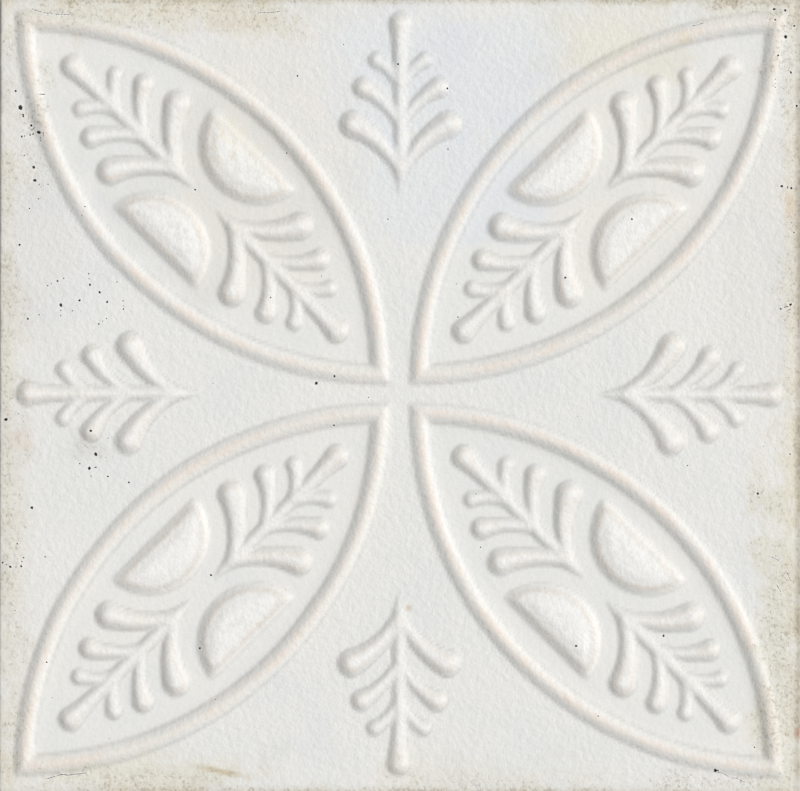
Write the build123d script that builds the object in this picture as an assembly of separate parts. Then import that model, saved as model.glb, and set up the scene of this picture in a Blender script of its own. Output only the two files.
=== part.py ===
from build123d import *
import math
import os

# A square ceramic wall tile, pressed in one piece with a raised ornament and lying face up.
# Millimetres. The origin is the middle of the back, +Z points out of the face, +Y up the wall.

# Body
SIDE = 200.0
FIELD_HEIGHT = 8.2
CORNER_RADIUS = 1.2
FACE_EDGE_RADIUS = 0.8
BACK_CHAMFER = 0.6

# Keying pockets in the back, which let the adhesive grip
POCKETS_PER_ROW = 8
POCKET_SIDE = 18.0
POCKET_PITCH = 22.5
POCKET_DEPTH = 0.7
POCKET_DRAFT = 30.0

# The ornament's feet reach this far under the face that they stand on, so that they join it
SUNK = 0.3

# Four pointed ovals, each outlined by two beads that meet at points on the tile's diagonal
OVAL_INNER_POINT = 6.9
OVAL_OUTER_POINT = 132.4
OVAL_HALF_BREADTH = 25.6
OVAL_HALF_LENGTH = (OVAL_OUTER_POINT - OVAL_INNER_POINT) / 2
OVAL_MIDDLE = (OVAL_OUTER_POINT + OVAL_INNER_POINT) / 2
OVAL_BEND = (OVAL_HALF_LENGTH**2 + OVAL_HALF_BREADTH**2) / (2 * OVAL_HALF_BREADTH)
# The floor inside an oval lies this far under the plain face
FLOOR_DROP = 0.2
# A bead's two flanks, from its crown down: distance from the middle line, height
BEAD_OUTER_FLANK = ((0.6, 0.9), (1.75, 0.5), (3.0, 0.0))
BEAD_INNER_FLANK = ((0.6, 0.9), (1.75, 0.45), (3.2, -FLOOR_DROP))

# Two half moons in each oval, with their flat sides towards the beads
MOON_CENTRE_ALONG = 69.3
MOON_CENTRE_ACROSS = 19.0
MOON_HEIGHT = 1.4
# From its foot up: radius, distance of the flat side from the oval's axis, share of the height
MOON_LEVELS = ((15.4, 18.7, 0.0), (13.1, 16.1, 0.7), (10.9, 13.9, 1.0))

# One sprig, used twelve times. Its root is at (0, 0) and its tip points along +X.
# A leaf widens from its root to the middle of its round end, turning outwards as it goes. Each has:
# root, middle of its round end, how far it bows, half width at the root, radius of the end, height
LEAF_PAIRS = (
    ((0.0, 0.0), (14.1, 11.9), 1.6, 1.5, 4.2, 1.40),
    ((12.0, 0.0), (23.5, 9.3), 1.3, 1.3, 3.3, 1.10),
    ((21.6, 0.0), (30.5, 6.1), 1.0, 1.3, 2.5, 0.80),
)
TIP_LEAF = ((22.5, 0.0), (39.2, 0.0), 0.0, 1.5, 3.8, 1.25)
STEM = ((0.5, 0.0), (26.0, 0.0), 0.0, 1.4, 1.9, 0.50)
# A leaf's sides slope in towards its round end: share of the outline's size, share of the height
LEAF_LEVELS = ((1.0, 0.0), (0.66, 0.62), (0.28, 1.0))
# How late a leaf widens: the power of the share of its length
LEAF_SWELL = 1.2
LEAF_SIDE_STEPS = 3
LEAF_END_STEPS = 5

# Where the sprigs stand: distance from the tile's middle to the root
OUTER_SPRIG_ROOT = 76.7
INNER_SPRIG_ROOT = 61.8
SIDE_SPRIG_ROOT = 53.6


def tile_body():
    """The pressed body, with a soft edge round its face and keying pockets in its back."""
    blank = extrude(RectangleRounded(SIDE, SIDE, CORNER_RADIUS), FIELD_HEIGHT)
    blank = fillet(blank.faces().sort_by(Axis.Z)[-1].edges(), FACE_EDGE_RADIUS)
    blank = chamfer(blank.faces().sort_by(Axis.Z)[0].edges(), BACK_CHAMFER)
    pocket = extrude(Rectangle(POCKET_SIDE, POCKET_SIDE), POCKET_DEPTH, taper=POCKET_DRAFT)
    places = GridLocations(POCKET_PITCH, POCKET_PITCH, POCKETS_PER_ROW, POCKETS_PER_ROW)
    return blank - [place * pocket for place in places]


def oval_floor():
    """The sunk floor of one pointed oval whose axis is +X, reaching to under its beads' crowns."""
    circle = Pos(OVAL_MIDDLE, OVAL_HALF_BREADTH - OVAL_BEND) * Circle(OVAL_BEND)
    return extrude(circle & mirror(circle, Plane.XZ), -FLOOR_DROP)


def oval_beads():
    """The two beads round one pointed oval whose axis is +X, mitred where they meet."""
    outer = [(OVAL_BEND + out, rise) for out, rise in BEAD_OUTER_FLANK]
    inner = [(OVAL_BEND - out, rise) for out, rise in reversed(BEAD_INNER_FLANK)]
    under = -FLOOR_DROP - SUNK
    foot = [(outer[-1][0], under), (inner[0][0], under)]
    section = make_face(Polyline(*outer, *foot, *inner, close=True))
    ring = revolve(Plane.XZ * section, Axis.Z)
    ring = Pos(OVAL_MIDDLE, OVAL_HALF_BREADTH - OVAL_BEND) * ring
    bead = ring & (Pos(OVAL_MIDDLE, SIDE / 2) * Box(SIDE, SIDE, SIDE))
    return [bead, mirror(bead, Plane.XZ)]


def moon_level(radius, flat_side, height):
    """Outline of a half moon at one height: an arc closed by its flat side."""
    half_chord = math.sqrt(radius**2 - (MOON_CENTRE_ACROSS - flat_side) ** 2)
    left = Vector(MOON_CENTRE_ALONG - half_chord, flat_side, height)
    right = Vector(MOON_CENTRE_ALONG + half_chord, flat_side, height)
    lowest = Vector(MOON_CENTRE_ALONG, MOON_CENTRE_ACROSS - radius, height)
    return Wire([Edge.make_three_point_arc(left, lowest, right), Edge.make_line(right, left)])


def moons():
    """The two half moons of one oval, their sides sloping up to a flat crown."""
    base_radius, base_flat, _ = MOON_LEVELS[0]
    levels = [moon_level(base_radius, base_flat, -SUNK)]
    levels += [moon_level(radius, flat, MOON_HEIGHT * share) for radius, flat, share in MOON_LEVELS]
    moon = Solid.make_loft(levels, ruled=True)
    return [moon, mirror(moon, Plane.XZ)]


def leaf_outline(root, end, bow, root_half, end_radius):
    """Points round a leaf: from its root out along its right side, round its end and back."""
    length = (end - root).length
    along = (end - root).normalized()
    right = along.rotate(Axis.Z, -90)
    end_turn = math.degrees(2 * math.atan2(2 * bow, length))

    def from_middle(share, side_angle, reach):
        """A point at a distance from the middle line, at an angle to the way that line runs."""
        middle = root + along * (length * share) + right * (4 * bow * share * (1 - share))
        heading = along.rotate(Axis.Z, end_turn * (2 * share - 1))
        return middle + heading.rotate(Axis.Z, side_angle) * reach

    shares = [step / LEAF_SIDE_STEPS for step in range(1, LEAF_SIDE_STEPS)]
    widths = [(share, root_half + (end_radius - root_half) * share**LEAF_SWELL) for share in shares]
    end_angles = [-90 + 180 * step / LEAF_END_STEPS for step in range(LEAF_END_STEPS + 1)]
    points = [root]
    points += [from_middle(share, -90, reach) for share, reach in widths]
    points += [from_middle(1.0, angle, end_radius) for angle in end_angles]
    points += [from_middle(share, 90, reach) for share, reach in reversed(widths)]
    return points


def leaf_pad(leaf):
    """A leaf with flat sides that slope in, level by level, towards the middle of its end."""
    root, end, bow, root_half, end_radius, height = leaf
    root, end = Vector(*root), Vector(*end)
    outline = leaf_outline(root, end, bow, root_half, end_radius)
    rings = [[point - Vector(0, 0, SUNK) for point in outline]]
    for scale, share in LEAF_LEVELS:
        rise = Vector(0, 0, height * share)
        rings.append([end + (point - end) * scale + rise for point in outline])
    faces = [Face(Wire.make_polygon(rings[0])), Face(Wire.make_polygon(rings[-1]))]
    for lower, upper in zip(rings, rings[1:]):
        corners = zip(lower, lower[1:] + lower[:1], upper[1:] + upper[:1], upper)
        faces += [Face(Wire.make_polygon(corner)) for corner in corners]
    return Solid(Shell(faces))


def sprig():
    """A stem with three pairs of leaves and one at its tip, all in one piece."""
    pads = [leaf_pad(STEM), leaf_pad(TIP_LEAF)]
    for pair in LEAF_PAIRS:
        leaf = leaf_pad(pair)
        pads += [leaf, mirror(leaf, Plane.XZ)]
    return pads[0].fuse(*pads[1:])


def on_diagonals(pieces):
    """Pieces made round +X, set on the face's level and turned onto each of the four diagonals."""
    places = [Pos(0, 0, FIELD_HEIGHT) * Rot(0, 0, 45 + 90 * quarter) for quarter in range(4)]
    return [place * piece for place in places for piece in pieces]


def ornament():
    """Everything raised on the face: four ovals with their contents, and four sprigs between."""
    one_sprig = sprig()
    in_oval = [
        *moons(),
        Pos(OUTER_SPRIG_ROOT, 0) * one_sprig,
        Pos(INNER_SPRIG_ROOT, 0) * Rot(0, 0, 180) * one_sprig,
    ]
    diagonal = oval_beads() + [Pos(0, 0, -FLOOR_DROP) * piece for piece in in_oval]
    between = Pos(SIDE_SPRIG_ROOT, 0, FIELD_HEIGHT) * one_sprig
    return on_diagonals(diagonal) + [Rot(0, 0, 90 * quarter) * between for quarter in range(4)]


tile = (tile_body() - on_diagonals([oval_floor()])).fuse(*ornament())
os.makedirs("parts", exist_ok=True)
export_step(tile, "parts/tile.step")
print("solids", len(tile.solids()), "faces", len(tile.faces()), "volume", round(tile.volume))
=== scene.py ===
import math
import bpy
import numpy as np
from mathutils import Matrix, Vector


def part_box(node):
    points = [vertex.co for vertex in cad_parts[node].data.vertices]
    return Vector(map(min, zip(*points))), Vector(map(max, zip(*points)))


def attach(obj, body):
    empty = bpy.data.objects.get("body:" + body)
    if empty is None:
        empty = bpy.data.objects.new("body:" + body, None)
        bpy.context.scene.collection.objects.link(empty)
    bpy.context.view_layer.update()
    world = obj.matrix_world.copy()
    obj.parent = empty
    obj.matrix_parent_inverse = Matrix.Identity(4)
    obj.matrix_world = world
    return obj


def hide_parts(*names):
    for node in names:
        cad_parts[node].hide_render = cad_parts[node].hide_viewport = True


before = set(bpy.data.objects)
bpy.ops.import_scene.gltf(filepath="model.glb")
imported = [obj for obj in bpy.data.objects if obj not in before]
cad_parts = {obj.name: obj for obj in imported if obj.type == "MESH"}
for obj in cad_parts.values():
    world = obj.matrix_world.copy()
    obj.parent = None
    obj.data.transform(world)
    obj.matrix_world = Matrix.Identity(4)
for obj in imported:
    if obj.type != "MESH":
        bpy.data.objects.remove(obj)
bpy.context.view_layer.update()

# The ornament pressed into the tile's face: four pointed ovals outlined by beads, each holding two
# half moons and two leafy sprigs, and four more sprigs between the ovals.
# It is part of the clay body, raised from the plain field by the die that pressed the tile.

# Sizes are in millimetres here, and become metres when the mesh is made.
METRE = 1000.0
_, high_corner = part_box("tile")
HALF_SIDE = high_corner.x * METRE
# The plain field's height above the tile's back.
FIELD = 8.2
# The pattern came out a little smaller than the die's sizes below, and more so up the tile.
PATTERN_SHRINK_X = 1.003
PATTERN_SHRINK_Y = 1.0084

OVAL_MIDDLE = 69.65
OVAL_HALF_LENGTH = 62.8
OVAL_HALF_BREADTH = 25.5
OVAL_BEND = (OVAL_HALF_LENGTH**2 + OVAL_HALF_BREADTH**2) / (2 * OVAL_HALF_BREADTH)
BEAD_HALF_WIDTH = 3.05
BEAD_HEIGHT = 0.82
# The floor inside an oval is dished this deep, at this distance from the beads and beyond.
DISH_DEPTH = 0.19
DISH_SLOPE_WIDTH = 5.0

MOON_ALONG = 69.3
MOON_ACROSS = 19.0
MOON_RADIUS = 15.6
MOON_FLAT_SIDE = 18.6
# How sharply a half moon's arc and its flat side meet.
MOON_SHARPNESS = 1.5
# A half moon rises in two slopes: where each begins, its width and its rise. A darker tan line lies
# between them.
MOON_SLOPES = ((0.1, 2.9, 1.00), (2.9, 2.6, 0.34))
MOON_LEDGE = 2.4
MOON_LEDGE_HALF_WIDTH = 0.8

OUTER_SPRIG_ROOT = 76.7
INNER_SPRIG_ROOT = 61.8
SIDE_SPRIG_ROOT = 53.6
# The bow of a leaf that looks straight.
STRAIGHT = 0.01
# The forms of a sprig: three pairs of leaves, the one at its tip, the stem and the point at its
# root. Each has: root, middle of its round end, bow, half widths at the root and at the end,
# heights there, and how late it swells.
LEAVES = (
    ((2.0, 0.0), (14.1, 11.9), 1.4, (1.9, 3.8), (0.58, 1.12), 1.7),
    ((13.4, 0.0), (23.5, 9.4), 1.1, (1.6, 2.95), (0.46, 0.92), 2.5),
    ((22.9, 0.0), (30.4, 6.1), 0.9, (1.7, 2.3), (0.46, 0.66), 4.0),
    ((24.7, 0.0), (39.3, 0.0), STRAIGHT, (2.1, 3.35), (0.62, 1.02), 3.2),
    ((3.0, 0.0), (26.8, 0.0), STRAIGHT, (2.0, 2.0), (0.58, 0.50), 1.0),
    ((-3.4, 0.0), (4.5, 0.0), STRAIGHT, (0.3, 3.0), (0.12, 0.60), 0.9),
)
# Sections across a bead and a leaf: how flat on top, and how softly the foot runs out into the floor.
BEAD_SECTION = (2.3, 2.4)
LEAF_SECTION = (2.6, 1.6)
# Random values on each side of the lattice that clouds are made from.
LATTICE = 64


def arch(share, section):
    """Section across a form: 1 less a power of the share of its half width, and that to a power."""
    flatness, softness = section
    return np.clip(1 - np.abs(share) ** flatness, 0, None) ** softness


def rise(share):
    """Soft step from 0 to 1: 3 share squared - 2 share cubed."""
    share = np.clip(share, 0, 1)
    return share**2 * (3 - 2 * share)


def bead(along, across):
    """Bead round an oval: an arch on the distance from the circle that its middle line follows.

    Also gives that distance, which is negative inside the oval.
    """
    centre = OVAL_HALF_BREADTH - OVAL_BEND
    distance = np.hypot(along - OVAL_MIDDLE, across - centre) - OVAL_BEND
    return BEAD_HEIGHT * arch(distance / BEAD_HALF_WIDTH, BEAD_SECTION), distance


def moon(along, across):
    """Half moon: soft steps of the depth in from its outline, the softened lesser of two depths.

    One is measured from the arc and the other from the flat side. Also gives how near each point
    is to the ledge between the steps: a bell curve of the depth.
    """
    from_arc = MOON_RADIUS - np.hypot(along - MOON_ALONG, across - MOON_ACROSS)
    from_flat = MOON_FLAT_SIDE - across
    depth = -np.logaddexp(-MOON_SHARPNESS * from_arc, -MOON_SHARPNESS * from_flat) / MOON_SHARPNESS
    height = sum(height * rise((depth - begin) / width) for begin, width, height in MOON_SLOPES)
    return height, np.exp(-(((depth - MOON_LEDGE) / MOON_LEDGE_HALF_WIDTH) ** 2))


def leaf(along, across, root, end, bow, half_widths, heights, swell):
    """Leaf: an arch on the distance from a circular arc, wider and higher towards its round end.

    The share of the way round the arc, to the power of swell, blends the width and the height.
    Beyond either end of the arc the distance is to that end.
    """
    chord = np.subtract(end, root)
    length = np.hypot(*chord)
    ahead = chord / length
    left = np.array([-ahead[1], ahead[0]])
    bend = (length**2 / 4 + bow**2) / (2 * bow)
    centre = root + chord / 2 + left * (bend - bow)
    half_angle = math.asin(length / 2 / bend)
    x, y = along - centre[0], across - centre[1]
    angle = np.arctan2(x * ahead[0] + y * ahead[1], -(x * left[0] + y * left[1]))
    share = (angle + half_angle) / (2 * half_angle)
    distance = np.abs(np.hypot(x, y) - bend)
    distance = np.where(share < 0, np.hypot(along - root[0], across - root[1]), distance)
    distance = np.where(share > 1, np.hypot(along - end[0], across - end[1]), distance)
    grown = np.clip(share, 0, 1) ** swell
    half_width = half_widths[0] + (half_widths[1] - half_widths[0]) * grown
    height = heights[0] + (heights[1] - heights[0]) * grown
    return height * arch(distance / half_width, LEAF_SECTION)


def relief(x, y):
    """Height of the ornament, its forms merged by the fourth root of the sum of their fourth powers.

    The tile is folded along its diagonals and middle lines, so each form is worked out once.
    Also gives how deep the floor under the forms is dished, the beads' and the moons' own heights,
    and where the moons' ledges are.
    """
    x, y = np.abs(x * PATTERN_SHRINK_X), np.abs(y * PATTERN_SHRINK_Y)
    along, across = (x + y) / math.sqrt(2), np.abs(x - y) / math.sqrt(2)
    bead_height, outside = bead(along, across)
    dish = DISH_DEPTH * rise(-outside / DISH_SLOPE_WIDTH)
    moon_height, ledge = moon(along, across)
    forms = [bead_height, moon_height]
    places = (
        (along - OUTER_SPRIG_ROOT, across),
        (INNER_SPRIG_ROOT - along, across),
        (np.maximum(x, y) - SIDE_SPRIG_ROOT, np.minimum(x, y)),
    )
    for place in places:
        forms += [leaf(*place, *shape) for shape in LEAVES]
    return sum(form**4 for form in forms) ** 0.25, dish, bead_height, moon_height, ledge


def clouds(x, y, size, seed):
    """Soft random unevenness from -1 to 1: random values on a square lattice, blended smoothly.

    The lattice has its middle at the tile's, and begins again where it ends.
    """
    lattice = np.random.default_rng(seed).uniform(-1, 1, (LATTICE, LATTICE))
    last = LATTICE - 1
    column, row = x / size + last / 2, y / size + last / 2
    left, below = np.floor(column).astype(int), np.floor(row).astype(int)
    right_share, up_share = rise(column - left), rise(row - below)
    left, below = left % last, below % last
    right, above = left + 1, below + 1
    lower = lattice[below, left] * (1 - right_share) + lattice[below, right] * right_share
    upper = lattice[above, left] * (1 - right_share) + lattice[above, right] * right_share
    return lower * (1 - up_share) + upper * up_share


def uneven(x, y, layers):
    """Sum of layers of clouds, each multiplied by its amount."""
    return sum(amount * clouds(x, y, size, seed) for amount, size, seed in layers)


# The tile's body: pressed from fine clay 8 mm thick, with a soft worn edge round its face, plain
# sides with a little draft, and a back with square keying pockets that grip the adhesive.
# It is one closed skin: the face, then rings of points down round the rim, then the back.

EDGE_RADIUS = 0.6
# Points along each side of the face.
FACE_POINTS = 297
# Layers of clouds, here and below: amount, size, seed.
# Slow ones bend the pattern by a fraction of a millimetre, as fired clay does.
BENT_X = ((0.16, 24, 1), (0.05, 5, 2))
BENT_Y = ((0.16, 24, 3), (0.05, 5, 4))
RELIEF_UNEVEN = ((0.06, 18, 5),)
FIELD_WAVES = ((0.05, 31, 6), (0.02, 11, 7))
FIELD_ROUGH = ((0.006, 1.9, 8),)
# The field lies lower by this, so that its waves don't rise above its height.
ROOM_FOR_WAVES = 0.07
# The face is worn down towards the rim: from how far in, and how deep at the rim itself.
WEAR_REACH = 3.0
WEAR_DEPTH = 0.10
WEAR_UNEVEN = ((0.08, 5, 9),)


def quads(rows):
    """Corner numbers of the quads of a grid of point numbers, anticlockwise seen with rows going up."""
    corners = rows[:-1, :-1], rows[:-1, 1:], rows[1:, 1:], rows[1:, :-1]
    return np.stack(corners, axis=-1).reshape(-1, 4)


flat_half = HALF_SIDE - EDGE_RADIUS
face_line = np.linspace(-flat_half, flat_half, FACE_POINTS)
face_x, face_y = np.meshgrid(face_line, face_line)
bent_x = face_x + uneven(face_x, face_y, BENT_X)
bent_y = face_y + uneven(face_x, face_y, BENT_Y)
raised, dish, bead_raised, moon_raised, ledge = relief(bent_x, bent_y)
face_relief = raised * (1 + uneven(face_x, face_y, RELIEF_UNEVEN)) - dish
wave = uneven(face_x, face_y, FIELD_WAVES)
rough = uneven(face_x, face_y, FIELD_ROUGH)
from_edge = HALF_SIDE - np.maximum(np.abs(face_x), np.abs(face_y))
near_edge = np.clip(1 - from_edge / WEAR_REACH, 0, 1)
wear = near_edge**2 * (WEAR_DEPTH + uneven(face_x, face_y, WEAR_UNEVEN))
face_z = FIELD - ROOM_FOR_WAVES + face_relief + wave + rough - wear


# Marks of age in the face: pinholes where gas broke through the glaze and dirt has gathered, and a
# few hairline cracks. Each is a short line with round ends, and a pinhole is one of no length.
# They are sunk into the face's points here, and the glaze's material draws their exact outline.

# Pinholes placed one by one: middle, radius.
PINHOLES = (
    (-96.0, 75.2, 0.26), (-95.0, 71.2, 0.58), (-94.3, 69.0, 0.24), (-92.1, 66.7, 0.28),
    (-90.3, 65.0, 0.48), (-91.6, 56.3, 0.40), (-91.2, 52.9, 0.42), (-94.7, 64.0, 0.24),
    (-25.8, 79.2, 0.24), (-0.8, 82.2, 0.25), (-51.2, 50.8, 0.25), (-85.6, 27.9, 0.25),
    (-77.6, 27.1, 0.25), (-75.1, 25.1, 0.30), (-80.1, 23.1, 0.30), (-84.6, 21.9, 0.42),
    (-73.1, 22.6, 0.30), (-92.8, 18.4, 0.30), (-95.0, 36.9, 0.30), (-94.6, -43.1, 0.26),
    (-99.1, -42.2, 0.24), (-21.0, 2.5, 0.40), (-16.3, 4.4, 0.30), (92.9, 96.2, 0.32),
    (95.6, 95.7, 0.30), (93.1, 93.4, 0.24), (95.9, 89.2, 0.42), (98.1, 91.9, 0.28),
    (93.9, 84.5, 0.24), (97.1, 80.2, 0.26), (98.7, 72.0, 0.30), (94.9, 51.8, 0.30),
    (97.3, 51.4, 0.30), (97.1, 22.4, 0.30), (11.6, 76.0, 0.25), (41.0, 28.9, 0.25),
    (57.5, 43.6, 0.25), (-77.1, -9.5, 0.30), (-75.9, -15.2, 0.42), (-77.6, -18.7, 0.35),
    (-98.4, -6.5, 0.35), (-91.8, -28.5, 0.35), (-97.3, -43.4, 0.30), (-67.6, -22.2, 0.25),
    (-47.2, -45.2, 0.25), (-49.9, -63.6, 0.30), (-16.5, -7.8, 0.25), (44.0, -62.6, 0.30),
    (65.7, -60.1, 0.30), (89.1, -24.5, 0.30), (78.7, -93.8, 0.40),
)
# Where more of them are scattered: middle, half widths of the patch, how many.
SCATTERED = (
    ((-92.0, 60.0), (4.0, 14.0), 16),
    ((-80.0, 24.0), (11.0, 7.0), 22),
    ((-76.5, -15.0), (4.0, 6.0), 10),
    ((95.0, 85.0), (3.5, 12.0), 20),
    ((96.5, 20.0), (2.0, 40.0), 12),
    ((-92.0, -40.0), (7.0, 40.0), 14),
    ((-79.0, 44.0), (3.0, 3.0), 5),
    ((0.0, 0.0), (95.0, 95.0), 22),
)
SCATTER_SEED = 21
SMALL_PINHOLE = 0.10
LARGE_PINHOLE = 0.23
# No scattered pinhole lies nearer than this to another mark's first end.
CLEAR_OF_OTHERS = 1.7
# Hairline cracks: from, to, half width.
CRACKS = (
    ((-88.3, -96.2), (-84.8, -95.3), 0.15),
    ((-84.8, -95.3), (-77.6, -94.8), 0.17),
    ((-92.3, 95.7), (-88.5, 94.7), 0.15),
    ((-88.5, 94.7), (-82.3, 94.3), 0.14),
    ((-90.6, 74.5), (-88.6, 74.6), 0.22),
    ((72.2, 91.7), (75.7, 92.7), 0.15),
    ((92.6, -40.3), (94.4, -41.6), 0.14),
    ((96.3, -43.7), (97.3, -46.4), 0.15),
    ((93.9, -47.3), (95.3, -49.8), 0.13),
    ((79.7, -94.3), (85.9, -96.5), 0.15),
    ((-36.0, 94.9), (-30.2, 95.3), 0.17),
)
# A crack is fainter than a placed pinhole, as if it passed this many of its half widths under the
# surface. A scattered pinhole is at most as faint.
CRACK_FAINTNESS = 0.9
# Small clouds bend the marks, so that no crack is straight and no pinhole round.
MARK_BENT_X = ((0.22, 1.7, 12),)
MARK_BENT_Y = ((0.22, 1.7, 13),)
# A point this far or farther from every mark's outline has the number of no mark.
MARK_REACH = 1.0
NO_MARK = 9.0
# A mark is sunk this deep, and the slope into it begins this many of its radii from its middle.
MARK_DEPTH = 0.15
MARK_SLOPE_START = 1.3


def all_marks():
    """Every mark: its two ends, radius and faintness."""
    random = np.random.default_rng(SCATTER_SEED)
    marks = [((x, y), (x, y), radius, 0) for x, y, radius in PINHOLES]
    marks += [(*crack, CRACK_FAINTNESS) for crack in CRACKS]
    for middle, half_widths, how_many in SCATTERED:
        places = middle + random.uniform(-1, 1, (how_many, 2)) * half_widths
        radii = random.uniform(SMALL_PINHOLE, LARGE_PINHOLE, how_many)
        faintness = random.uniform(0, CRACK_FAINTNESS, how_many)
        for place, radius, faint in zip(places, radii, faintness):
            if min(math.dist(place, mark[0]) for mark in marks) > CLEAR_OF_OTHERS:
                marks.append((place, place, radius, faint))
    return marks


def marks_at(x, y):
    """For each point, three numbers from the mark that is nearest.

    The first is how far it lies past the mark's ends and the second how far to its side, both over
    the mark's radius, so that the outline is where their length is 1. The third is its faintness,
    or a large number where no mark is near.
    """
    x, y = x + uneven(x, y, MARK_BENT_X), y + uneven(x, y, MARK_BENT_Y)
    numbers = np.zeros((x.size, 3))
    numbers[:, 2] = NO_MARK
    nearest = np.full(x.size, np.inf)
    for begin, end, radius, faint in all_marks():
        length = math.dist(begin, end)
        ahead = np.subtract(end, begin) / length if length else (1, 0)
        right, up = x - (begin[0] + end[0]) / 2, y - (begin[1] + end[1]) / 2
        along = right * ahead[0] + up * ahead[1]
        side = up * ahead[0] - right * ahead[1]
        past = np.sign(along) * np.clip(np.abs(along) - length / 2, 0, None)
        away = np.hypot(past, side)
        closer = (away < radius + MARK_REACH) & (away / radius < nearest)
        nearest[closer] = (away / radius)[closer]
        numbers[closer, :2] = np.stack([past, side], axis=1)[closer] / radius
        numbers[closer, 2] = faint
    return numbers


from_mark = np.linalg.norm(marks_at(face_x.ravel(), face_y.ravel()), axis=1)
face_z -= MARK_DEPTH * rise(MARK_SLOPE_START - from_mark).reshape(face_z.shape)


# The rim and the back, which close the skin. Rings of points go down from the face's border round
# the worn edge, which is chipped in places, and the side. The back has few points, at the mouths
# and the floors of its keying pockets.

BACK_CHAMFER = 0.6
ROUND_STEPS = 4
# Rings of points down the side: how far in from the solid's side, how far below the field, how worn.
SIDE_RINGS = (
    (0.02, 3.6, 0.5),
    (0.06, FIELD - BACK_CHAMFER, 0.3),
    (BACK_CHAMFER, FIELD, 0.0),
)
RIM_WEAR = 0.07
RIM_WEAR_UNEVEN = ((0.06, 3, 10),)
# Chips break out where steep clouds rise past a start, and are as deep as they get at 1 past it.
CHIP_DEPTH = 0.25
CHIP_SIZE = 7
CHIP_SEED = 11
CHIP_STEEPNESS = 3
CHIP_START = 1.9
POCKETS_PER_ROW = 8
POCKET_PITCH = 22.5
POCKET_SIDE = 18.0
POCKET_DEPTH = 0.7
POCKET_WALL = 0.4


def perimeter(grid):
    """The four sides of a square array of point numbers, anticlockwise, each without its last."""
    return [grid[0, :-1], grid[:-1, -1], grid[-1, :0:-1], grid[:0:-1, 0]]


face_grid = np.arange(face_x.size).reshape(face_x.shape)
points = [np.stack([face_x.ravel(), face_y.ravel(), face_z.ravel()], axis=1)]

# The way out from each of the face's last points, which fans out round the tile's corners.
rim_start = np.concatenate(perimeter(face_grid))
rim_x, rim_y, rim_z = points[0][rim_start].T
inner_square = flat_half - EDGE_RADIUS
out_x = np.sign(rim_x) * np.clip(np.abs(rim_x) - inner_square, 0, None)
out_y = np.sign(rim_y) * np.clip(np.abs(rim_y) - inner_square, 0, None)
out_length = np.hypot(out_x, out_y)
out_x, out_y = out_x / out_length, out_y / out_length

# Each ring: how far out from the face's last points, how far below the field, how worn.
round_angles = np.linspace(0, math.pi / 2, ROUND_STEPS + 1)[1:]
rings = [(EDGE_RADIUS * math.sin(a), EDGE_RADIUS * (1 - math.cos(a)), 1.0) for a in round_angles]
rings += [(EDGE_RADIUS - inwards, down, worn) for inwards, down, worn in SIDE_RINGS]
ring_numbers = [rim_start]
count = face_grid.size
for out, down, worn in rings:
    chipped = worn * (RIM_WEAR + uneven(rim_x + rim_y, rim_x - rim_y, RIM_WEAR_UNEVEN))
    chips = clouds(rim_x, rim_y, CHIP_SIZE, CHIP_SEED + int(down)) * CHIP_STEEPNESS - CHIP_START
    chipped += worn * CHIP_DEPTH * rise(chips)
    reach = out - chipped
    # The unevenness of the face's last points dies away down the side.
    drop = (rim_z - FIELD) * (1 - down / FIELD) ** 2
    ring = [rim_x + out_x * reach, rim_y + out_y * reach, FIELD - down + drop]
    points.append(np.stack(ring, axis=1))
    ring_numbers.append(np.arange(count, count + rim_x.size))
    count += rim_x.size
ring_rows = np.array([np.append(numbers, numbers[0]) for numbers in ring_numbers])
rim_faces = quads(ring_rows[::-1])

# The back: lines of points at each pocket's mouth and floor, so that its walls lean a little.
first_pocket = -POCKET_PITCH * (POCKETS_PER_ROW - 1) / 2
pocket_middles = first_pocket + POCKET_PITCH * np.arange(POCKETS_PER_ROW)
mouth_half, floor_half = POCKET_SIDE / 2, POCKET_SIDE / 2 - POCKET_WALL
steps = np.array([-mouth_half, -floor_half, floor_half, mouth_half])
back_line = (pocket_middles[:, None] + steps).ravel()
is_floor = np.tile([False, True, True, False], POCKETS_PER_ROW)
back_x, back_y = np.meshgrid(back_line, back_line)
back_z = np.where(is_floor[:, None] & is_floor[None, :], POCKET_DEPTH, 0.0)
back_grid = count + np.arange(back_x.size).reshape(back_x.shape)
points.append(np.stack([back_x.ravel(), back_y.ravel(), back_z.ravel()], axis=1))
back_faces = quads(back_grid)[:, ::-1]

# A flat margin joins the rim's many points to the back's few, one many-cornered face a step.
margin_faces = []
side_length = FACE_POINTS - 1
along_side = np.linspace(-1, 1, side_length + 1) * (HALF_SIDE - BACK_CHAMFER)
cuts = np.searchsorted(along_side, back_line)
cuts[0], cuts[-1] = 0, side_length
borders = perimeter(back_grid)
for side in range(4):
    border = np.append(borders[side], borders[(side + 1) % 4][0])
    lowest = np.roll(ring_numbers[-1], -side * side_length)[: side_length + 1]
    for corner, next_corner, begin, end in zip(border, border[1:], cuts, cuts[1:]):
        margin_faces.append([corner, next_corner, *lowest[begin : end + 1][::-1]])

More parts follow.
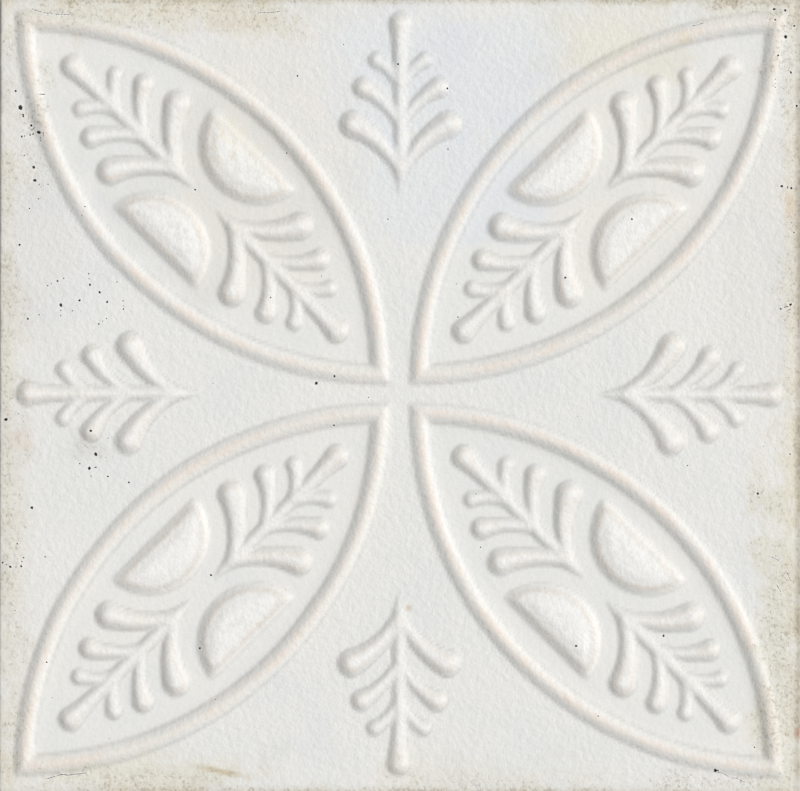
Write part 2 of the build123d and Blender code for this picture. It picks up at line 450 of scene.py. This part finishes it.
face_quads = quads(face_grid)
faces = [*face_quads.tolist(), *rim_faces.tolist(), *back_faces.tolist()]
faces += [[int(number) for number in face] for face in margin_faces]
all_points = np.concatenate(points)
body_mesh = bpy.data.meshes.new("glazed_tile")
body_mesh.from_pydata((all_points / METRE).tolist(), [], faces)
body_mesh.validate()
tile = bpy.data.objects.new("glazed_tile", body_mesh)
bpy.context.scene.collection.objects.link(tile)
rim_end = len(face_quads) + len(rim_faces)
smooth = np.zeros(len(body_mesh.polygons), bool)
smooth[:rim_end] = True
body_mesh.polygons.foreach_set("use_smooth", smooth)


# What the years left on the glaze, kept as numbers on the skin's points for its material to read:
# slow stains, dirt gathered near the edges and how far each form is rubbed; and beside them, where
# shade is painted on the forms' flanks and in their creases.

# Stains: middle, half widths, turn in degrees, colour that the glaze is multiplied by.
STAINS = (
    ((8.0, 79.5), (29.0, 16.5), 0, (0.960, 0.985, 1.035)),
    ((11.0, 51.5), (21.5, 13.5), 0, (0.965, 0.985, 1.030)),
    ((55.0, 88.0), (17.5, 9.5), 0, (0.990, 0.975, 0.920)),
    ((-62.0, 96.5), (24.0, 3.2), 0, (0.965, 0.945, 0.885)),
    ((-60.0, 94.5), (37.0, 4.0), 0, (0.985, 0.972, 0.930)),
    ((-46.0, 91.5), (11.0, 1.3), 0, (0.975, 0.950, 0.925)),
    ((86.0, 96.5), (13.0, 3.2), 0, (0.965, 0.945, 0.890)),
    ((-84.5, 33.0), (12.0, 17.0), 0, (0.980, 0.985, 1.005)),
    ((-33.0, 58.0), (22.0, 34.0), 0, (1.005, 0.992, 0.972)),
    ((57.0, 58.0), (17.0, 34.0), 0, (1.005, 0.992, 0.972)),
    ((-27.5, -82.0), (10.0, 9.0), 0, (0.980, 0.985, 1.000)),
    ((-32.0, -89.5), (3.2, 2.6), 0, (0.945, 0.950, 0.955)),
    ((-77.9, -12.3), (3.5, 3.2), 0, (0.930, 0.935, 0.935)),
    ((-44.2, -94.3), (4.8, 0.5), -12, (0.700, 0.600, 0.420)),
    ((-66.0, -95.0), (29.0, 4.5), 0, (0.960, 0.940, 0.870)),
    ((20.0, -95.0), (20.0, 4.5), 0, (0.985, 0.975, 0.945)),
    ((96.8, 47.1), (0.9, 2.6), 0, (0.980, 0.880, 0.780)),
    ((99.2, -84.3), (0.5, 1.0), 0, (0.700, 0.350, 0.250)),
    ((-94.8, -11.5), (2.2, 2.0), 0, (0.970, 0.900, 0.860)),
    ((70.5, 89.2), (1.7, 1.2), 0, (0.970, 0.800, 0.580)),
    ((2.2, -53.4), (0.5, 0.5), 0, (0.800, 0.660, 0.480)),
    ((-42.5, 60.5), (4.0, 4.5), 30, (1.000, 0.940, 0.810)),
    ((94.5, -58.0), (5.5, 40.0), 0, (0.970, 0.955, 0.890)),
    ((97.8, 20.0), (1.6, 78.0), 0, (1.000, 0.955, 0.870)),
    ((100.2, 0.0), (1.3, 100.0), 0, (0.430, 0.405, 0.350)),
    ((0.0, 99.5), (100.0, 1.5), 0, (0.730, 0.695, 0.610)),
    ((0.0, -99.9), (100.0, 1.5), 0, (0.880, 0.860, 0.800)),
    ((-98.4, 0.0), (2.0, 100.0), 0, (0.970, 0.952, 0.912)),
    ((-96.0, -38.0), (3.4, 44.0), 0, (0.976, 0.962, 0.938)),
    ((-47.0, 47.0), (23.0, 23.0), 45, (0.968, 0.966, 0.960)),
    ((89.0, 30.0), (10.0, 34.0), 0, (0.970, 0.966, 0.960)),
    ((-90.0, 40.0), (9.0, 30.0), 0, (0.970, 0.968, 0.962)),
)
# Dirt: middle, half widths, amount from 0 to 1. The first four lie along the rim.
DIRTY = (
    ((-99.4, 0.0), (1.6, 100.0), 0.20),
    ((99.9, 0.0), (1.2, 100.0), 1.0),
    ((0.0, 99.4), (100.0, 1.6), 0.85),
    ((0.0, -99.4), (100.0, 1.4), 0.95),
    ((-98.2, 0.0), (2.4, 97.0), 0.50),
    ((-66.0, 98.4), (20.0, 2.4), 0.90),
    ((-58.0, 94.0), (36.0, 4.4), 0.45),
    ((-86.0, 95.0), (10.0, 3.5), 0.55),
    ((45.0, 99.2), (50.0, 1.6), 0.90),
    ((86.0, 98.0), (13.0, 2.6), 0.90),
    ((96.0, 88.0), (5.0, 11.0), 0.60),
    ((97.5, 30.0), (3.0, 62.0), 0.45),
    ((95.5, -62.0), (6.0, 36.0), 0.55),
    ((-64.0, -96.5), (28.0, 3.4), 0.60),
    ((22.0, -97.0), (24.0, 2.4), 0.50),
    ((78.0, -97.0), (22.0, 2.5), 0.60),
    ((-96.8, -45.0), (4.0, 50.0), 0.40),
    ((-92.5, 60.0), (3.5, 12.0), 0.35),
    ((-90.5, 71.0), (3.2, 8.0), 0.60),
    ((-76.5, -12.5), (3.5, 3.5), 0.40),
)
# The soft edge of a patch is this wide, or as wide as a small patch.
PATCH_EDGE = 6.0
# Clouds make the edge ragged, and less so on a patch whose half width is under this.
RAGGED = ((0.5, 6.0, 31), (0.3, 1.6, 32))
FULLY_RAGGED_SIZE = 5.0
# Heights at which a bead and a half moon count in full, and a crown and any raised form.
BEAD_COUNTS = 0.5
MOON_COUNTS = 0.2
CROWN_COUNTS = 0.8
FORM_COUNTS = 0.5
# Slope at which flanks count in full, and the painted shade on them is full. The painted shade in
# the creases starts at a small slope, is full at this much more, and has faded out at some height up
# the form.
FLANK_SLOPE = 0.42
CREASE_SLOPE_START = 0.08
CREASE_SLOPE_RANGE = 0.25
CREASE_TOP = 0.4
# How much less the flanks and the creases are shaded on the beads, and on the half moons.
FLANKS_SPARED = (0.5, 0.6)
CREASES_SPARED = (0.4, 0.5)
# How much of the orange peel is missing on an oval's floor.
FLOOR_SMOOTHNESS = 0.5


def patch(x, y, middle, half_widths, turn=0):
    """Share from 0 to 1 of a soft-edged, ragged patch.

    It is a soft step of the depth in from a superellipse, 0.5 on its line, which clouds push about.
    """
    angle = math.radians(turn)
    right = (x - middle[0]) * math.cos(angle) + (y - middle[1]) * math.sin(angle)
    up = (y - middle[1]) * math.cos(angle) - (x - middle[0]) * math.sin(angle)
    outward = ((right / half_widths[0]) ** 4 + (up / half_widths[1]) ** 4) ** 0.25
    narrower = min(half_widths)
    depth = (1 - outward) * narrower
    raggedness = uneven(x, y, RAGGED) * min(1, narrower / FULLY_RAGGED_SIZE)
    return rise(0.5 + depth / min(PATCH_EDGE, 2 * narrower) + raggedness)


def part_of(value, whole):
    """Share from 0 to 1 that a value is of a whole, held at either end."""
    return np.clip(value / whole, 0, 1)


def keep_on_points(name, values, columns=1):
    """Store numbers for each point of the skin: those given, then 0 for the points after them."""
    full = np.zeros((len(all_points), columns))
    full[: values.size // columns] = values.reshape(-1, columns)
    kind, key = ("FLOAT", "value") if columns == 1 else ("FLOAT_VECTOR", "vector")
    attribute = body_mesh.attributes.new(name, kind, "POINT")
    attribute.data.foreach_set(key, full.ravel())


skin_x, skin_y = all_points[:, 0], all_points[:, 1]
stain = np.ones((len(all_points), 3))
for middle, half_widths, turn, tint in STAINS:
    share = patch(skin_x, skin_y, middle, half_widths, turn)
    stain *= 1 - share[:, None] * (1 - np.array(tint))
dirt = np.zeros(len(all_points))
for middle, half_widths, amount in DIRTY:
    dirt = np.maximum(dirt, amount * patch(skin_x, skin_y, middle, half_widths))
keep_on_points("stain", stain, 3)
keep_on_points("dirt", dirt)
keep_on_points("mark", marks_at(skin_x, skin_y), 3)

face_step = 2 * flat_half / (FACE_POINTS - 1)
slope = np.hypot(*np.gradient(face_relief, face_step))
bead_share = part_of(bead_raised, BEAD_COUNTS)
moon_share = part_of(moon_raised, MOON_COUNTS)


def spared(shade, on_beads, on_moons):
    """A shade made less on the beads and on the half moons by these shares of it."""
    return shade * (1 - on_beads * bead_share) * (1 - on_moons * moon_share)


# Painted shade: the steeper the flanks, the darker the glaze is painted there.
flank_shade = part_of(slope, FLANK_SLOPE)
# Painted shade lies in a thin line where the flanks meet the floor.
sloping = part_of(slope - CREASE_SLOPE_START, CREASE_SLOPE_RANGE)
crease_shade = sloping * (1 - rise(raised / CREASE_TOP))
crown = part_of(raised, CROWN_COUNTS) * (1 - bead_share) * (1 - flank_shade)
on_floor = 1 - part_of(raised, FORM_COUNTS)
keep_on_points("flank_shade", spared(flank_shade, *FLANKS_SPARED))
keep_on_points("crease_shade", spared(crease_shade, *CREASES_SPARED))
keep_on_points("raised", raised)
keep_on_points("crown", crown)
keep_on_points("ledge", ledge)
keep_on_points("smooth", FLOOR_SMOOTHNESS * dish / DISH_DEPTH * on_floor)


# The glaze: an old soft-white glaze over the whole face and a little way down the sides, satin
# rather than shiny. It is orange-peeled, brighter on the crowns, warmer along the beads and soiled
# near the edges, with shade painted darker on the steep flanks and in the creases at their feet.

class Wiring:
    """Lays out one material's nodes and links them."""

    def __init__(self, name):
        self.material = bpy.data.materials.new(name)
        self.material.use_nodes = True
        self.tree = self.material.node_tree
        self.surface = self.tree.nodes["Principled BSDF"]

    def add(self, kind, settings=(), **inputs):
        """Add a node, set its properties, and set or link its inputs by name with _ for a space."""
        node = self.tree.nodes.new(kind)
        for key, value in dict(settings).items():
            setattr(node, key, value)
        for key, value in inputs.items():
            self.put(node.inputs[key.replace("_", " ")], value)
        return node

    def put(self, socket, value):
        """Link an output to a socket, or set the socket's own value."""
        if isinstance(value, bpy.types.NodeSocket):
            self.tree.links.new(value, socket)
        else:
            socket.default_value = value

    def calculate(self, operation, first, second=0.0, third=0.0):
        """Arithmetic on two or three numbers."""
        node = self.add("ShaderNodeMath", {"operation": operation})
        for socket, value in zip(node.inputs, (first, second, third)):
            self.put(socket, value)
        return node.outputs[0]

    def times(self, first, second):
        """The product of two numbers."""
        return self.calculate("MULTIPLY", first, second)

    def times_plus(self, first, second, added):
        """The product of two numbers, plus a third."""
        return self.calculate("MULTIPLY_ADD", first, second, added)

    def ramp(self, value, between, gives=(0.0, 1.0)):
        """Map the values between two limits smoothly to those that it gives there, and hold beyond."""
        node = self.add("ShaderNodeMapRange", {"interpolation_type": "SMOOTHSTEP"})
        for socket, number in zip(node.inputs, (value, *between, *gives)):
            self.put(socket, number)
        return node.outputs[0]

    def where(self):
        """Object coordinates, in metres."""
        return self.add("ShaderNodeTexCoord").outputs["Object"]

    def noise(self, scale, detail, roughness):
        """Random clouds with this many features a metre."""
        settings = {"Scale": scale, "Detail": detail, "Roughness": roughness}
        return self.add("ShaderNodeTexNoise", Vector=self.where(), **settings).outputs[0]

    def cloudy(self, noise, between, gives=(0.0, 1.0)):
        """Random clouds put through a ramp."""
        return self.ramp(self.noise(*noise), between, gives)

    def attribute(self, name, output="Fac"):
        """A value kept on the mesh's points."""
        return self.add("ShaderNodeAttribute", {"attribute_name": name}).outputs[output]

    def blend(self, share, first, second, mode="MIX"):
        """Mix two colours, whose sockets come after those for numbers and vectors."""
        node = self.add("ShaderNodeMix", {"data_type": "RGBA", "blend_type": mode})
        sockets = node.inputs[0], node.inputs[6], node.inputs[7]
        for socket, value in zip(sockets, (share, first, second)):
            self.put(socket, value)
        return node.outputs[2]

    def bump(self, height, depth, under=None):
        """Turn a height into a tilted surface, depth in metres for a height of 1."""
        node = self.add("ShaderNodeBump", Height=height, Distance=depth, Strength=1.0)
        if under is not None:
            self.put(node.inputs["Normal"], under)
        return node.outputs[0]


# Clouds in the clay, here and for the glaze below: features a metre, detail, roughness.
CLAY_MOTTLE = (420, 5, 0.7)
PALE_CLAY = (0.50, 0.37, 0.25, 1)
DARK_CLAY = (0.37, 0.26, 0.17, 1)


def clay_colour(wiring):
    """Fired buff clay: two tones in fine clouds."""
    return wiring.blend(wiring.cloudy(CLAY_MOTTLE, between=(0.3, 0.7)), PALE_CLAY, DARK_CLAY)


WHITE = (0.835, 0.823, 0.782, 1)
MILKY = (0.802, 0.799, 0.773, 1)
CROWN = (0.915, 0.905, 0.872, 1)
ROSY = (0.850, 0.770, 0.690, 1)
CREAM = (0.850, 0.828, 0.775, 1)
# Grey for the painted shade on the steep flanks, and for fine speckle in the glaze.
SHADE_AND_SPECKLE_GREY = (0.520, 0.510, 0.480, 1)
# Grey for the painted shade in the creases at the feet of the forms.
SHADED = (0.380, 0.365, 0.330, 1)
LEDGE_TAN = (0.580, 0.555, 0.500, 1)
FILM = (0.600, 0.515, 0.360, 1)
SOIL = (0.385, 0.320, 0.220, 1)
GRIME = (0.110, 0.085, 0.055, 1)
BROKEN = (0.880, 0.875, 0.850, 1)
PIT = (0.026, 0.021, 0.016, 1)

MILKY_CLOUDS = (60, 4, 0.6)
ROSY_CLOUDS = (90, 4, 0.7)
CROWN_CLOUDS = (500, 3, 0.5)
CREASE_CLOUDS = (260, 3, 0.6)
LEDGE_CLOUDS = (300, 3, 0.6)
SPECKLES = (1500, 3, 0.6)
DIRT_CLOUDS = (170, 4, 0.65)
FILM_CLOUDS = (800, 4, 0.75)
SOIL_GRAINS = (1000, 4, 0.75)
GRIME_GRAINS = (1500, 4, 0.7)
RAGGED_OUTLINE = (2600, 3, 0.7)
GLAZE_LINE_CLOUDS = (160, 4, 0.5)
ORANGE_PEEL = (650, 3, 0.6)
# How strongly each layer covers those under it.
# The first is the painted shade on the steep flanks.
FLANK_SHADE_SHARE = 0.32
FILM_SHARE = 0.6
SOIL_SHARE = 0.5
GRIME_SHARE = 0.7
BROKEN_SHARE = 0.5
# The painted shade on the steep flanks grows late, by this power of how steep they are.
FLANK_SHADE_POWER = 1.2
# How much sooner grains of soil and grime show where the dirt is thickest.
SOIL_SPREAD = 0.24
GRIME_SPREAD = 0.22
# How far the fine clouds move a mark's outline, in radii of the mark.
OUTLINE_RAGGEDNESS = 1.3
# The glaze ends between two heights, which clouds lower by up to this, in metres like the depths.
GLAZE_LINE = (0.0080, 0.0083)
GLAZE_LINE_DROP = 0.0035
PEEL_DEPTH = 0.00022
PIT_DEPTH = 0.00025
SOIL_DEPTH = 0.00010
# The glaze's roughness, what is added to it where it is quite matt, and how matt dirt is.
SATIN = 0.50
MATT_ADDS = 0.4
DIRT_MATTNESS = 0.6

glaze = Wiring("aged_white_glaze")
glaze.surface.inputs["Specular IOR Level"].default_value = 0.35
colour = glaze.blend(glaze.cloudy(MILKY_CLOUDS, between=(0.38, 0.66)), WHITE, MILKY)
colour = glaze.blend(1.0, colour, glaze.attribute("stain", "Vector"), "MULTIPLY")
height = glaze.attribute("raised")
colour = glaze.blend(glaze.ramp(height, between=(0.2, 0.6), gives=(0.0, 0.35)), colour, CREAM)
# A warm tint follows the ridges and the shoulders of the higher forms, and leaves their tops white.
above_foot = glaze.ramp(height, between=(0.50, 0.78))
below_top = glaze.ramp(height, between=(0.92, 1.10), gives=(1.0, 0.0))
patchy = glaze.cloudy(ROSY_CLOUDS, between=(0.40, 0.62), gives=(0.25, 0.90))
colour = glaze.blend(glaze.times(glaze.times(above_foot, below_top), patchy), colour, ROSY)
patchy = glaze.cloudy(CROWN_CLOUDS, between=(0.2, 0.6))
colour = glaze.blend(glaze.times(glaze.attribute("crown"), patchy), colour, CROWN)
# Painted shade: the steep flanks are painted darker.
shade_on_flanks = glaze.calculate("POWER", glaze.attribute("flank_shade"), FLANK_SHADE_POWER)
colour = glaze.blend(glaze.times(shade_on_flanks, FLANK_SHADE_SHARE), colour, SHADE_AND_SPECKLE_GREY)
# Painted shade: thin lines in the creases where the flanks meet the floor.
patchy = glaze.cloudy(CREASE_CLOUDS, between=(0.2, 0.7), gives=(0.14, 0.42))
colour = glaze.blend(glaze.times(glaze.attribute("crease_shade"), patchy), colour, SHADED)
# A darker tan line along each half moon's ledge.
patchy = glaze.cloudy(LEDGE_CLOUDS, between=(0.2, 0.7), gives=(0.12, 0.44))
colour = glaze.blend(glaze.times(glaze.attribute("ledge"), patchy), colour, LEDGE_TAN)
speckle = glaze.cloudy(SPECKLES, between=(0.42, 0.70), gives=(0.0, 0.10))
colour = glaze.blend(speckle, colour, SHADE_AND_SPECKLE_GREY)

# Dirt has gathered in patches near the edges: a brown film, and grains of soil and of dark grime.
patchy = glaze.cloudy(DIRT_CLOUDS, between=(0.30, 0.66), gives=(0.45, 1.0))
gathered = glaze.times(glaze.attribute("dirt"), patchy)
film = glaze.times(gathered, glaze.cloudy(FILM_CLOUDS, between=(0.35, 0.65)))
colour = glaze.blend(glaze.times(film, FILM_SHARE), colour, FILM)
is_dirty = glaze.ramp(gathered, between=(0.03, 0.25))
soil = glaze.times_plus(gathered, SOIL_SPREAD, glaze.noise(*SOIL_GRAINS))
soil = glaze.times(glaze.ramp(soil, between=(0.60, 0.86)), is_dirty)
colour = glaze.blend(glaze.times(soil, SOIL_SHARE), colour, SOIL)
grime = glaze.times_plus(gathered, GRIME_SPREAD, glaze.noise(*GRIME_GRAINS))
grime = glaze.times(glaze.ramp(grime, between=(0.76, 0.90)), is_dirty)
colour = glaze.blend(glaze.times(grime, GRIME_SHARE), colour, GRIME)

# A mark is a dark hole with a ragged outline, and round it the glaze is broken and pale.
mark = glaze.attribute("mark", "Vector")
mark_length = glaze.add("ShaderNodeVectorMath", {"operation": "LENGTH"}, Vector=mark)
ragged = glaze.noise(*RAGGED_OUTLINE)
away = glaze.times_plus(ragged, OUTLINE_RAGGEDNESS, mark_length.outputs["Value"])
broken = glaze.ramp(away, between=(1.6, 3.6), gives=(1.0, 0.0))
colour = glaze.blend(glaze.times(broken, BROKEN_SHARE), colour, BROKEN)
hole = glaze.ramp(away, between=(1.35, 1.75), gives=(1.0, 0.0))
colour = glaze.blend(hole, colour, PIT)

# The glaze ends in an uneven line a little way down the side, and the clay below is bare.
place = glaze.add("ShaderNodeSeparateXYZ", Vector=glaze.where())
line = glaze.times_plus(glaze.noise(*GLAZE_LINE_CLOUDS), GLAZE_LINE_DROP, place.outputs["Z"])
bare = glaze.ramp(line, between=GLAZE_LINE, gives=(1.0, 0.0))
colour = glaze.blend(bare, colour, clay_colour(glaze))
glaze.put(glaze.surface.inputs["Base Color"], colour)

matt = glaze.calculate("MAXIMUM", bare, hole)
matt = glaze.calculate("MAXIMUM", matt, glaze.times(gathered, DIRT_MATTNESS))
glaze.put(glaze.surface.inputs["Roughness"], glaze.times_plus(matt, MATT_ADDS, SATIN))
roughened = glaze.calculate("SUBTRACT", 1.0, glaze.attribute("smooth"))
normal = glaze.bump(glaze.times(glaze.noise(*ORANGE_PEEL), roughened), PEEL_DEPTH)
normal = glaze.bump(glaze.times(hole, -1.0), PIT_DEPTH, normal)
normal = glaze.bump(soil, SOIL_DEPTH, normal)
glaze.put(glaze.surface.inputs["Normal"], normal)

# The clay itself, bare on the back and on the small chamfer round it: buff, fine and matt.
# The lower sides show the same clay, where the glaze's material ends.

CLAY_GRAIN = (900, 4, 0.6)
CLAY_GRAIN_DEPTH = 0.0003

clay = Wiring("fired_clay")
clay.put(clay.surface.inputs["Base Color"], clay_colour(clay))
clay.surface.inputs["Roughness"].default_value = 0.9
clay.put(clay.surface.inputs["Normal"], clay.bump(clay.noise(*CLAY_GRAIN), CLAY_GRAIN_DEPTH))

body_mesh.materials.append(glaze.material)
body_mesh.materials.append(clay.material)
# The rim's faces begin with its lowest round of them, the chamfer, which has the clay's material.
material_numbers = np.zeros(len(body_mesh.polygons), int)
material_numbers[len(face_quads) : len(face_quads) + rim_x.size] = 1
material_numbers[rim_end:] = 1
body_mesh.polygons.foreach_set("material_index", material_numbers)

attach(tile, "root")
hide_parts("tile")

# The studio: a pale floor that the tile lies on, one broad soft light from the right and a little
# above it, even light from all round, and a camera looking straight down.

FLOOR_HALF = 1.5
FLOOR_COLOUR = (0.75, 0.74, 0.72, 1)
ROOM_COLOUR = (0.97, 0.98, 1.0, 1)
ROOM_STRENGTH = 0.32
LIGHT_AZIMUTH = math.radians(16)
LIGHT_ELEVATION = math.radians(45)
LIGHT_BREADTH = math.radians(19)
LIGHT_STRENGTH = 2.96

floor_mesh = bpy.data.meshes.new("floor")
corners = [(x * FLOOR_HALF, y * FLOOR_HALF, 0) for x, y in ((-1, -1), (1, -1), (1, 1), (-1, 1))]
floor_mesh.from_pydata(corners, [], [(0, 1, 2, 3)])
floor = bpy.data.objects.new("floor", floor_mesh)
bpy.context.scene.collection.objects.link(floor)
paint = Wiring("pale_floor")
paint.surface.inputs["Base Color"].default_value = FLOOR_COLOUR
paint.surface.inputs["Roughness"].default_value = 0.8
floor_mesh.materials.append(paint.material)

world = bpy.data.worlds.new("soft_room")
bpy.context.scene.world = world
world.use_nodes = True
background = world.node_tree.nodes["Background"]
background.inputs["Color"].default_value = ROOM_COLOUR
background.inputs["Strength"].default_value = ROOM_STRENGTH

lamp_data = bpy.data.lights.new("key_light", "SUN")
lamp_data.energy = LIGHT_STRENGTH
lamp_data.angle = LIGHT_BREADTH
lamp = bpy.data.objects.new("key_light", lamp_data)
lamp.rotation_euler = (0, math.pi / 2 - LIGHT_ELEVATION, LIGHT_AZIMUTH)
bpy.context.scene.collection.objects.link(lamp)

PHOTO_WIDTH_PX = 800
PHOTO_HEIGHT_PX = 791
# The photograph is cut a hair inside the tile's edges, so its whole width would be a little more.
TILE_PX = 802.4
# Where the middle of the pattern shows in the photograph, in pixels from its top left corner.
MIDDLE_X_PX = 400.34
MIDDLE_Y_PX = 393.85
# Radians that the tile is turned by in the photograph.
PHOTO_TURN = 0.0022
LENS_MM = 200
SENSOR_MM = 36

camera_data = bpy.data.cameras.new("camera")
camera_data.lens = LENS_MM
camera_data.sensor_width = SENSOR_MM
camera = bpy.data.objects.new("camera", camera_data)
view_width = 2 * HALF_SIDE / METRE * PHOTO_WIDTH_PX / TILE_PX
distance = view_width * LENS_MM / SENSOR_MM
pixel = view_width / PHOTO_WIDTH_PX
camera.location = (
    (PHOTO_WIDTH_PX / 2 - MIDDLE_X_PX) * pixel,
    (MIDDLE_Y_PX - PHOTO_HEIGHT_PX / 2) * pixel,
    FIELD / METRE + distance,
)
camera.rotation_euler = (0, 0, PHOTO_TURN)
bpy.context.scene.collection.objects.link(camera)
bpy.context.scene.camera = camera
bpy.context.scene.view_settings.view_transform = "Standard"
